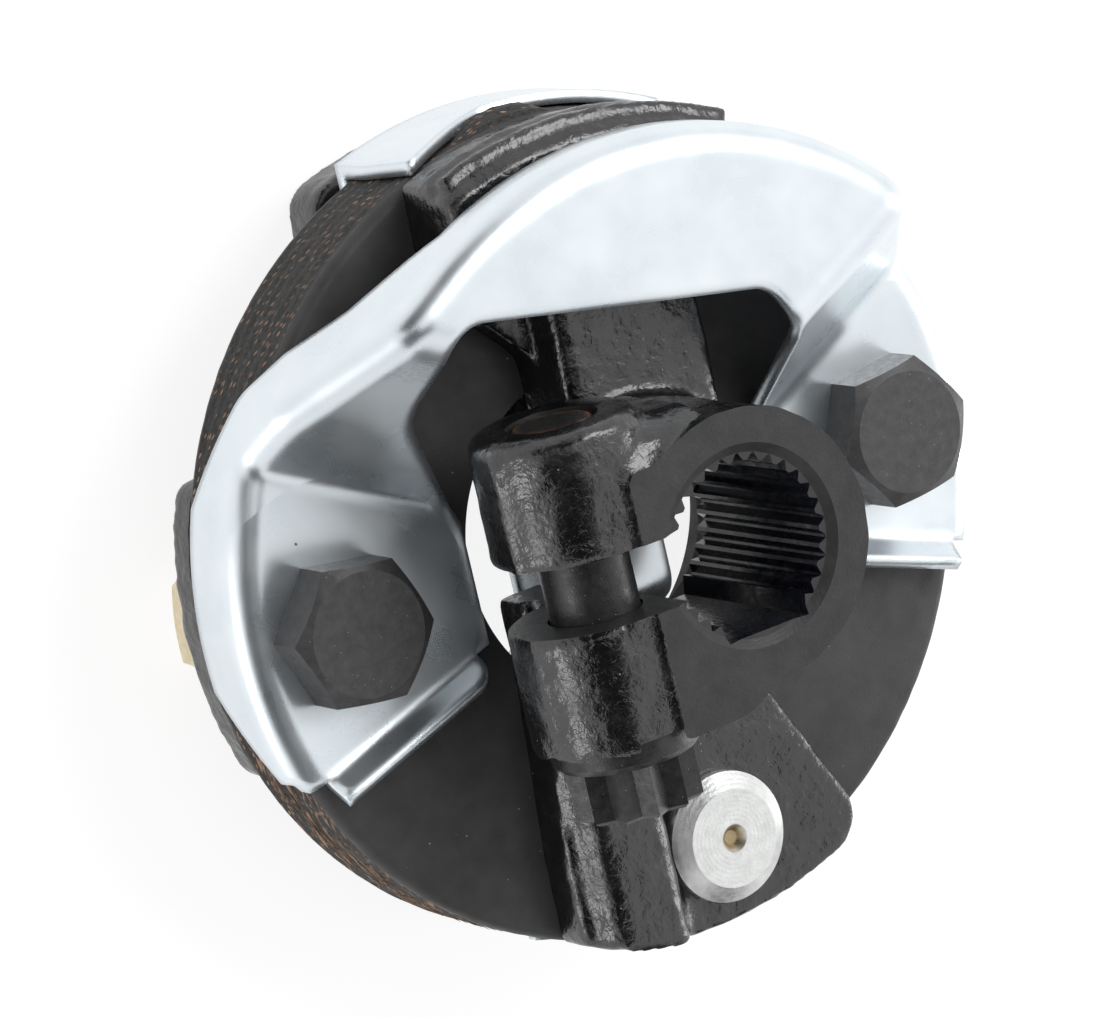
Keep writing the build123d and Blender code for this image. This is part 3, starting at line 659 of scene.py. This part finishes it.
# %% [markdown]
# ## The casting
#
# The hub, the ears and both arms are one casting. It could be sculpted, but then the
# machined faces would drift from their true places. The frame holds it already machined,
# so we put the metal back first: stock on the nose, on the ears' lower end and under the
# arms, bars in the holes and a block in the slit. Thin beads along the ears and round the
# upper arm are the parting line, where the two halves of the mould met.

# %% Sizes of the stock
rim_r = disc_r / mm
nose = nose_z / mm
face = disc_high.z / mm
stock = 1.2
ear_low_y, ear_high_y = -15.5, 17.5
slit_low, slit_high = -3.2, 4.0
slit_left, slit_right, slit_floor = -15.0, -9.0, 8.2
hub_stock_r, relief_stock_r = 14.2, 12.5
ear_stock_r, pinch_stock_r, rivet_stock_r = 8.4, 5.6, 6.0
ear_bead_r, arm_bead_r = 0.8, 0.8
arm_bead_start, arm_bead_end = 62.5, 109.5
rivets = {name: (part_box(name)[0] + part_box(name)[1]) / 2 / mm for name in ("upper_rivet", "lower_rivet")}
rivet_seats = {"upper_rivet": 3.4, "lower_rivet": 1.8}
print("stock of", stock, "mm, slit", round(slit_high - slit_low, 1), "mm wide")

# %% [markdown]
# A face that will be machined is moved out by the stock. The bars and the block then lie
# over the holes and the slit and overlap the casting a little, so that the next step can
# fuse them with it.

# %% Add the stock


def with_stock(node_name):
    """A copy of the frame's solid, with stock on the faces that will be machined."""
    mesh = bmesh.new()
    mesh.from_mesh(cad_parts[node_name].data)
    for vertex in mesh.verts:
        x, y, z = vertex.co / mm
        if z > nose - 0.01:
            vertex.co.z += stock * mm
        if z < face + 0.01:
            vertex.co.z -= stock * mm
        if y < ear_low_y + 0.01 and z > ear_z - 10 and x < 0:
            vertex.co.y -= stock * mm
    return mesh


raw = with_stock("clamp_flange")
add_bar(raw, hub_stock_r, 0.3, nose + stock)
add_bar(raw, relief_stock_r, face - stock, 1.5)
add_bar(raw, ear_stock_r, ear_low_y + 2, ear_high_y - 2, (ear_x, ear_z), along="Y")
add_block(raw, (slit_left, -6.0, slit_floor), (slit_right, 7.0, nose + stock))
add_bar(raw, pinch_stock_r, ear_low_y - 0.6, ear_high_y - 0.5, (ear_x, ear_z), along="Y")
for name, middle in rivets.items():
    add_bar(raw, rivet_stock_r, face - stock, rivet_seats[name], (middle.x, middle.y))
add_bar(raw, ear_bead_r, ear_low_y + 1, ear_high_y - 2, (ear_x - 8.6, ear_z + 1.8), along="Y", segments=12)
for bead_z in (3.9, 1.0):
    add_bead(raw, rim_r, bead_z, arm_bead_start, arm_bead_end, arm_bead_r)
bmesh.ops.recalc_face_normals(raw, faces=raw.faces)
casting = piece("clamp_casting", raw)
print("stock:", len(casting.data.polygons), "faces")

# %% [markdown]
# A voxel remesh fuses it all into one skin, smoothing rounds every edge as a sand mould
# would, and noise roughens it. The noise can fold a sharp hollow through itself, so a
# second voxel remesh makes the skin sound again for the cutting. The ear is cast a
# little lower than the nose, so that only the hub is faced.

# %% Fuse, round and roughen
voxel = 0.42
round_over = 9
lump_size, pock_size = 2.4, 1.0
ear_crest, ear_step_x = nose - 0.45, -12.2


def skin(mesh, lump, pock):
    """Pushes every point of a casting in and out, by broad lumps and by small pocks."""
    moved = []
    for vertex in mesh.vertices:
        broad = noise.noise(vertex.co / (lump_size * mm))
        small = noise.turbulence(vertex.co / (pock_size * mm), 3, True)
        moved.append(vertex.co + vertex.normal * mm * (lump * broad + pock * (small - 0.5)))
    for vertex, point in zip(mesh.vertices, moved):
        vertex.co = point


def sand_cast(obj, lump, pock):
    """Rounds, roughens and paints a piece that has been fused."""
    work(obj, "SMOOTH", factor=0.5, iterations=round_over)
    skin(obj.data, lump, pock)
    work(obj, "REMESH", mode="VOXEL", voxel_size=voxel * mm)
    obj.data.materials.append(cast_paint)
    return obj


casting.data.materials.clear()
work(casting, "REMESH", mode="VOXEL", voxel_size=voxel * mm)
for vertex in casting.data.vertices:
    if vertex.co.x < ear_step_x * mm:
        vertex.co.z = min(vertex.co.z, ear_crest * mm)
sand_cast(casting, lump=0.13, pock=0.09)
print("casting:", len(casting.data.polygons), "faces")

# %% [markdown]
# ## Machining the casting
#
# Now the metal comes off again with crisp tools: the nose and the disc face are faced
# flat, the splined bore is broached, the slit is sawn, and the holes are drilled. Each
# tool carries the finish that it leaves, so the boolean paints the cut faces too. The
# spline's cutter is a tube between two toothed outlines.

# %% The spline's cutter
spline_teeth = 30
minor_r, major_r = 8.75, 9.55
tip_share, root_share = 0.24, 0.14
flat_y, flat_half_width = -9.0, 5.2


def spline_outline():
    """Round the toothed hole: V grooves between narrow teeth, and one flat."""
    points = []
    pitch = 2 * math.pi / spline_teeth
    for tooth in range(spline_teeth):
        middle = tooth * pitch
        for share, radius in ((-(1 - tip_share) / 2, minor_r), (-root_share / 2, major_r),
                              (root_share / 2, major_r), ((1 - tip_share) / 2, minor_r)):
            point = Vector((radius * math.cos(middle + share * pitch),
                            radius * math.sin(middle + share * pitch)))
            if abs(point.x) < flat_half_width and point.y < 0:
                point.y = flat_y
            points.append(point)
    return points


def fill_spline(mesh):
    """The broach: the toothed outline from below the disc face to above the nose."""
    add_tube(mesh, [[(p.x * mm, p.y * mm, z * mm) for p in spline_outline()]
                    for z in (face - stock * 2, nose + stock * 2)])


print("spline of", spline_teeth, "teeth,", 2 * major_r, "mm across its grooves")

# %% [markdown]
# The cuts run in the order of the workshop: face, broach, relieve, saw and drill, then
# the seat of the bolt's head, and last a seat and a hole for each rivet. One boolean with
# all the tools would be quicker, but each cut by itself is easier to check.

# %% Machine it
reach = 60.0
relief_r = 10.8
mouth_r, mouth_inner_r, mouth_depth = 10.75, 9.6, 0.7
pinch_hole_r, pinch_thread_r = 5.0, 4.82
ear_seat_r = 9.3
spot_face_r, rivet_hole_r = 7.3, 4.4
cut(casting, tool("facing", machined_paint,
                  lambda m: add_block(m, (-reach, -reach, nose), (reach, reach, nose + 10)),
                  lambda m: add_block(m, (-reach, -reach, face - 10), (reach, reach, face))))
cut(casting, tool("broach", spline_paint, fill_spline))
cut(casting, tool("relief", machined_paint,
                  lambda m: add_bar(m, relief_r, face - 4, 0.0),
                  lambda m: add_bar(m, mouth_r, nose - mouth_depth, nose + 0.1, low_radius=mouth_inner_r)))
cut(casting, tool("saw", machined_paint,
                  lambda m: add_block(m, (-reach, slit_low, face - 4), (0, slit_high, nose + 4))))
cut(casting, tool("drills", machined_paint,
                  lambda m: add_bar(m, pinch_hole_r, ear_low_y - 9, slit_high - 2, (ear_x, ear_z), "Y"),
                  lambda m: add_bar(m, pinch_thread_r, slit_high - 1, ear_high_y + 4, (ear_x, ear_z), "Y")))
cut(casting, tool("ear_seat", machined_paint,
                  lambda m: add_bar(m, ear_seat_r, ear_low_y - 9, ear_low_y, (ear_x, ear_z), "Y")))
for name, middle in rivets.items():
    seat, spot = rivet_seats[name], (middle.x, middle.y)
    cut(casting, tool("spot_face", machined_paint,
                      lambda m: add_bar(m, spot_face_r, seat, seat + 8, spot)))
    cut(casting, tool("rivet_hole", machined_paint,
                      lambda m: add_bar(m, rivet_hole_r, face - 4, seat + 1, spot)))
shade(casting)
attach(casting, "root")
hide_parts("clamp_flange")
print("machined:", len(casting.data.polygons), "faces")

# %% [markdown]
# ## The rear flange
#
# The flange behind the disc is a second casting. It was made in the same sand and painted
# in the same dip, so it goes through the same steps, with its holes drilled after.

# %% Rear casting
bolt_stock_r, bolt_hole_r = 7.0, 5.06
raw = bmesh.new()
raw.from_mesh(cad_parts["rear_flange"].data)
bolts = {name: (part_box(name)[0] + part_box(name)[1]) / 2 / mm for name in ("left_bolt", "right_bolt")}
rear_low, rear_high = (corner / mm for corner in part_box("rear_flange"))
for vertex in raw.verts:
    if vertex.co.z / mm > rear_high.z - 0.01:
        vertex.co.z += stock * mm
for middle in bolts.values():
    add_bar(raw, bolt_stock_r, rear_high.z - 3.6, rear_high.z + stock, (middle.x, middle.y))
rear = piece("rear_casting", raw)
rear.data.materials.clear()
work(rear, "REMESH", mode="VOXEL", voxel_size=voxel * mm)
sand_cast(rear, lump=0.12, pock=0.08)
cut(rear, tool("rear_facing", machined_paint,
               lambda m: add_block(m, (-reach, -reach, rear_high.z), (reach, reach, 0)),
               lambda m: add_block(m, (-reach, -reach, rear_low.z - 9), (reach, reach, rear_low.z))))
cut(rear, tool("rear_drills", machined_paint, *(
    lambda m, b=b: add_bar(m, bolt_hole_r, rear_low.z - 3, 0, (b.x, b.y)) for b in bolts.values())))
shade(rear)
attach(rear, "root")
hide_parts("rear_flange")
print("rear casting:", len(rear.data.polygons), "faces")

# %% [markdown]
# ## The disc
#
# The disc is modelled as if turned: one profile swept round the axis. A remeshed copy of
# the solid would do too, but a sweep gives clean rings of faces. The rim gets many rings,
# so that its plies can stand out and fall back a little, and the rubber squeezed up over
# the plate's lip at the top is a real swelling.

# %% The disc's profile
hole_r = 18.0
edge_r = 1.3
back = disc_low.z / mm
thickness = face - back
face_rings, edge_rings, rim_rings = 12, 5, 36
edge_share = 0.35


def disc_profile():
    """(radius, height, share of rim relief) from the hole, over the front and rim, to the back."""
    flat = rim_r - edge_r
    points = [(hole_r + t * (flat - hole_r) / face_rings, face, 0.0) for t in range(face_rings + 1)]
    for t in range(1, edge_rings + 1):
        lean = t / edge_rings * math.pi / 2
        points.append((flat + edge_r * math.sin(lean), face - edge_r * (1 - math.cos(lean)), edge_share))
    height = thickness - 2 * edge_r
    points += [(rim_r, face - edge_r - height * t / rim_rings, 1.0) for t in range(1, rim_rings)]
    for t in range(edge_rings + 1):
        lean = t / edge_rings * math.pi / 2
        points.append((flat + edge_r * math.cos(lean), back + edge_r * (1 - math.sin(lean)), edge_share))
    return points + [(flat - t * (flat - hole_r) / face_rings, back, 0.0)
                     for t in range(1, face_rings + 1)]


profile = disc_profile()
print("profile of", len(profile), "points")

# %% [markdown]
# Plies, cuts and lumps in the rim are a small sum: a cosine up the height gives the
# plies, and two sizes of noise give the rest. The swelling is a bell across a few
# degrees, with a torn crest.

# %% Relief of the rim
plies = 8
swell_angle, swell_width, swell_out = 90.0, 6.0, 1.5
swell_below_face, swell_half_height = 4.0, 3.6


def rim_relief(angle, z):
    """How far the rim stands out at a place: the plies' ridges, and cuts and lumps in them."""
    ply = math.cos(2 * math.pi * (z - back) / (thickness / plies))
    around = Vector((math.cos(angle) * rim_r, math.sin(angle) * rim_r, z))
    return 0.05 * ply + 0.14 * noise.noise(around / 2.2) + 0.07 * noise.noise(around / 0.8) - 0.12


def swelling(angle, z):
    """How far the squeezed rubber stands out at a place."""
    degrees = math.degrees(angle)
    away = (degrees - swell_angle) / swell_width
    swell = swell_out * math.exp(-away ** 4)
    crest = 0.12 * noise.noise(Vector((degrees * 0.9, z * 1.4, 0)))
    level = max(0.0, 1 - ((z - face + swell_below_face) / swell_half_height) ** 2)
    return (swell + crest * (swell > 0.1)) * level


print("swelling", swell_out, "mm high")

# %% [markdown]
# The sweep sets the profile down at every half degree, moved out by the relief, and joins
# each row of points to the next. The rim's faces take the fabric, all others the rubber.

# %% Sweep the profile
sweep_steps = 720
mesh = bmesh.new()
rows = []
for step in range(sweep_steps):
    angle = 2 * math.pi * step / sweep_steps
    row = []
    for radius, z, share in profile:
        out = radius + share * (rim_relief(angle, z) + swelling(angle, z))
        row.append(mesh.verts.new((out * math.cos(angle) * mm, out * math.sin(angle) * mm, z * mm)))
    rows.append(row)
for row, after in zip(rows, rows[1:] + rows[:1]):
    for i in range(len(row)):
        j = (i + 1) % len(row)
        made = mesh.faces.new((row[i], after[i], after[j], row[j]))
        made.material_index = 1 if profile[i][2] > 0.5 or profile[j][2] > 0.5 else 0
bmesh.ops.recalc_face_normals(mesh, faces=mesh.faces)
disc = piece("fabric_disc", mesh)
for material in (rubber_face, fabric_rim):
    disc.data.materials.append(material)
print("swept:", len(disc.data.polygons), "faces")

# %% [markdown]
# The holes for the sleeves are punched afterwards, each as wide as its sleeve and a
# little more.

# %% Punch the disc
punch_gap = 0.2
sleeves = ("left_sleeve", "right_sleeve", "upper_rivet_sleeve", "lower_rivet_sleeve")
for name in sleeves:
    low, high = (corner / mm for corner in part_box(name))
    middle = (low + high) / 2
    cut(disc, tool("punch", rubber_face, lambda m: add_bar(
        m, high.x - middle.x + punch_gap, back - 3, face + 3, (middle.x, middle.y))))
shade(disc, 40)
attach(disc, "root")
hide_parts("flexible_disc")
print("disc:", len(disc.data.polygons), "faces")

# %% [markdown]
# ## Frayed threads
#
# Where the rim was dragged in cutting, loose thread ends lie along it. Hair particles
# could draw them, but they have no thickness that an export keeps. So each is a short
# thin tube that starts in the rim, leans away from it and gets thinner.

# %% Threads
thread_count, thread_rings = 90, 7
fray_start, fray_end = 168.0, 238.0
fray_r = 0.07
sides_of_thread = (0.0, 1.26, 2.51, 3.77, 5.03)


def value_at(number, channel):
    """A repeatable number from 0 to 1 for each thread and purpose."""
    return 0.5 + 0.5 * noise.noise(Vector((number * 7.31, channel * 3.17, 0.5)) * 1.7)


mesh = bmesh.new()
for number in range(thread_count):
    start = fray_start + (fray_end - fray_start) * (number + value_at(number, 1)) / thread_count
    level = back + 1.5 + (thickness - 3.0) * value_at(number, 2)
    length = 1.5 + 3.0 * value_at(number, 3)
    lift = 0.5 * value_at(number, 4)
    drift = 0.8 * (value_at(number, 5) - 0.5)
    rings = []
    for step in range(thread_rings):
        share = step / (thread_rings - 1)
        angle = math.radians(start) + length * share / rim_r
        radius = rim_r - 0.12 + lift * share * share
        out = Vector((math.cos(angle), math.sin(angle), 0))
        middle = out * radius + Vector((0, 0, level + drift * share))
        thin = fray_r * (1 - 0.6 * share)
        rings.append([(middle + out * thin * math.cos(turn)
                       + Vector((0, 0, thin * math.sin(turn)))) * mm for turn in sides_of_thread])
    add_tube(mesh, rings)
bmesh.ops.recalc_face_normals(mesh, faces=mesh.faces)
threads = piece("frayed_threads", mesh)
cotton, tree, shader = finish("cotton", (0.4, 0.24, 0.14), 0.8)
tree.links.new(ramp(tree, grain(tree, 2.0), (0.10, 0.055, 0.035), (0.5, 0.32, 0.2), 0.35, 0.65),
               shader.inputs["Base Color"])
threads.data.materials.append(cotton)
threads.data.shade_smooth()
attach(threads, "root")
print("threads:", thread_count)

# %% [markdown]
# ## Pieces that keep their solids
#
# The pressed sheets and the fasteners already have their true form in the frame. A voxel
# remesh would only fray the thin sheets' edges. So they keep their solids, with a finish
# and a hair of bevel where a sharp edge would catch no light.

# %% Dress the frame's own pieces


def dress(name, material, bevel):
    """Gives a frame piece its finish and breaks its sharp edges by a bevel, in millimetres."""
    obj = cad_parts[name]
    if not obj.material_slots:
        obj.data.materials.append(material)
    for slot in obj.material_slots:
        slot.material = material
    edges = obj.modifiers.new("broken_edges", "BEVEL")
    edges.width = bevel * mm
    edges.segments = 2
    edges.limit_method = "ANGLE"
    edges.angle_limit = math.radians(40)


for name in ("stop_bridge", "back_plate"):
    dress(name, zinc, 0.12)
for name in ("left_bolt", "right_bolt"):
    dress(name, phosphate, 0.2)
dress("pinch_bolt", pinch_steel, 0.15)
for name in ("left_nut", "right_nut"):
    dress(name, yellow_zinc, 0.15)
for name in ("upper_rivet", "lower_rivet"):
    dress(name, rivet_finish(name), 0.2)
for name in sleeves:
    dress(name, turned_steel, 0.1)
print("dressed:", sum(1 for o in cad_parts.values() if not o.hide_render), "frame pieces")

# %% [markdown]
# ## Floor and light
#
# The coupling lies on a pale floor that runs out of sight. More light could turn the
# floor white, but it would bleach the part too. So the floor and the world glow plain
# white only to the camera and in reflections. To light that falls on things they stay
# modest, and the floor keeps a soft shadow.

# %% Floor


def seen_directly(tree):
    """1 for what the camera, a mirror or glass sees, 0 for light that falls on things."""
    rays = node(tree, "LightPath")
    first = maths(tree, "MAXIMUM", rays.outputs["Is Camera Ray"], rays.outputs["Is Glossy Ray"])
    return maths(tree, "MAXIMUM", first, rays.outputs["Is Transmission Ray"])


floor_half_width = 1.5
mesh = bmesh.new()
bmesh.ops.create_grid(mesh, x_segments=2, y_segments=2, size=floor_half_width)
floor = piece("floor", mesh)
floor.location.z = floor_z
floor_white, tree, shader = finish("floor_white", (0.8, 0.8, 0.8), 0.9)
shader.inputs["Specular IOR Level"].default_value = 0.0
glow_strength = 0.84
glow = node(tree, "Emission", {"Color": (1, 1, 1, 1), "Strength": glow_strength})
dim = node(tree, "BsdfDiffuse", {"Color": (0.3, 0.3, 0.3, 1)})
both = node(tree, "AddShader")
tree.links.new(glow.outputs[0], both.inputs[0])
tree.links.new(dim.outputs[0], both.inputs[1])
choose = node(tree, "MixShader", {"Fac": seen_directly(tree)})
tree.links.new(shader.outputs[0], choose.inputs[1])
tree.links.new(both.outputs[0], choose.inputs[2])
tree.links.new(choose.outputs[0], tree.nodes["Material Output"].inputs["Surface"])
floor.data.materials.append(floor_white)
print("floor at", round(floor_z / mm, 1), "mm")

# %% [markdown]
# The world does the same all round: full white where it is seen, and about half of that
# where it lights the part.

# %% World
world = bpy.data.worlds.new("studio")
world.use_nodes = True
scene.world = world
tree = world.node_tree
background = tree.nodes["Background"]
background.inputs["Color"].default_value = (1, 1, 1, 1)
ambient = 0.52
tree.links.new(ramp(tree, seen_directly(tree), ambient, 1.0), background.inputs["Strength"])
print("ambient light", ambient)

# %% [markdown]
# Three soft lamps stand round the part: a key from the upper right, a low strip on the
# left that draws a highlight down the ears, and another low on the right. Small lamps
# would give hard sparkles on the glossy paint, so each is wider than the part is. They
# are placed by angles from the part, which is how a lamp on a stand is moved.

# %% Lamps


def towards(around, up):
    """A direction from the part, by degrees round from the right bolt and up from the floor."""
    flat = math.cos(math.radians(up))
    return Vector((flat * math.cos(math.radians(around)), flat * math.sin(math.radians(around)),
                   math.sin(math.radians(up))))


def face_part(obj, direction, away):
    """Stands a lamp or a card off in a direction, and turns it to the part."""
    obj.location = Vector(direction).normalized() * away
    obj.rotation_mode = "QUATERNION"
    obj.rotation_quaternion = Vector(direction).to_track_quat("Z", "Y")


def lamp(name, direction, away, size, power):
    """A soft rectangular lamp that faces the part from a direction, sizes in metres."""
    light = bpy.data.lights.new(name, "AREA")
    light.shape = "RECTANGLE"
    light.size, light.size_y = size
    light.energy = power
    made = bpy.data.objects.new(name, light)
    scene.collection.objects.link(made)
    face_part(made, direction, away)


lamp("key_lamp", towards(40, 50), 0.8, (0.4, 0.4), 2.6)
lamp("left_strip", towards(195, 5), 0.7, (0.18, 0.22), 0.55)
lamp("right_strip", towards(345, 15), 0.7, (0.16, 0.4), 0.8)

# %% [markdown]
# Bright zinc and black paint both show what they mirror. In an all white room the zinc
# would have no form and the paint would look grey, so four black cards give them
# something dark to mirror. Only reflections can see the cards, and they cast no shadow.

# %% Black cards


def card(name, direction, away, size):
    """A black card seen only by reflections."""
    mesh = bmesh.new()
    bmesh.ops.create_grid(mesh, x_segments=1, y_segments=1, size=0.5)
    made = piece(name, mesh)
    made.scale = (size[0], size[1], 1)
    face_part(made, direction, away)
    made.visible_camera = made.visible_diffuse = made.visible_shadow = False
    black, tree, shader = finish(name, (0.01, 0.01, 0.01), 0.9)
    shader.inputs["Specular IOR Level"].default_value = 0.0
    made.data.materials.append(black)


card("card_camera_side", towards(125, 42), 0.75, (0.9, 0.5))
card("card_left", towards(208, 55), 0.7, (0.5, 0.55))
card("card_above", towards(285, 76), 0.75, (0.35, 0.3))
card("card_low", towards(280, 8), 0.6, (0.45, 0.5))
print("cards in place")
